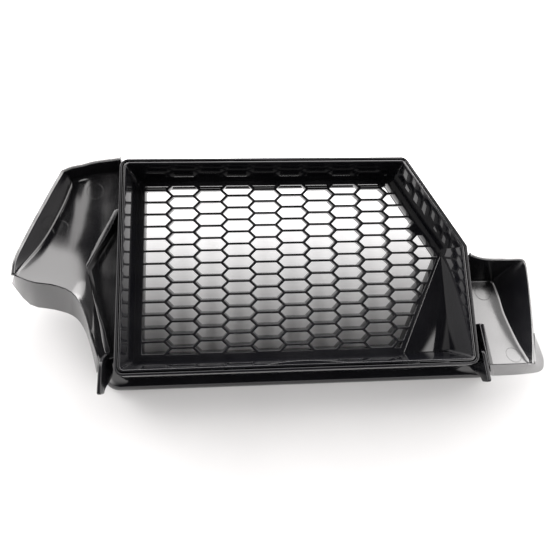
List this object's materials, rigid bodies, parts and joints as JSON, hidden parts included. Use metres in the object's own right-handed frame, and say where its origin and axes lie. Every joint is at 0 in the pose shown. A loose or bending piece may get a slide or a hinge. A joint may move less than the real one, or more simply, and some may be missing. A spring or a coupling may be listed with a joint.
{
  "type": "car bumper grille",
  "caption": "Car bumper grille insert seen from the rear: an angular frame with two moulded wings around a glossy duct and a flat-cell honeycomb mesh.",
  "frame": {"origin": "centre of the part's bounding box, on the plane its front trim rests on", "axes": "+X along the part towards the rectangular wing, +Y towards the frame's long straight top side, +Z out of the open rear of the duct; the part's front face looks towards -Z"},
  "size_m": [0.3922, 0.1716, 0.045],
  "materials": {
    "carrier_gloss": "gloss",
    "duct_gloss": "high gloss",
    "mesh_black": "fine satin",
    "trim_gloss": "piano black",
    "wing_satin": "satin, with tooling marks"
  },
  "bodies": {
    "root": {"outer_frame": "carrier_gloss", "duct_insert": "duct_gloss", "honeycomb_mesh": "mesh_black", "corner_blank_panel": "duct_gloss", "front_trim": "trim_gloss", "bezel_ring": "trim_gloss", "left_wing_panel": "wing_satin", "left_wing_rim_wall": "wing_satin", "left_wing_lower_flange": "wing_satin", "left_wing_stiffener": "wing_satin", "left_locating_hook": "carrier_gloss", "right_wing_panel": "wing_satin", "right_wing_top_wall": "wing_satin", "right_wing_side_wall": "wing_satin", "right_wing_lower_wall": "wing_satin", "right_wing_stiffener": "wing_satin", "right_locating_hook": "carrier_gloss", "top_snap_tabs": "duct_gloss", "bottom_snap_tabs": "duct_gloss", "retaining_clip": "duct_gloss"}
  },
  "joints": []
}
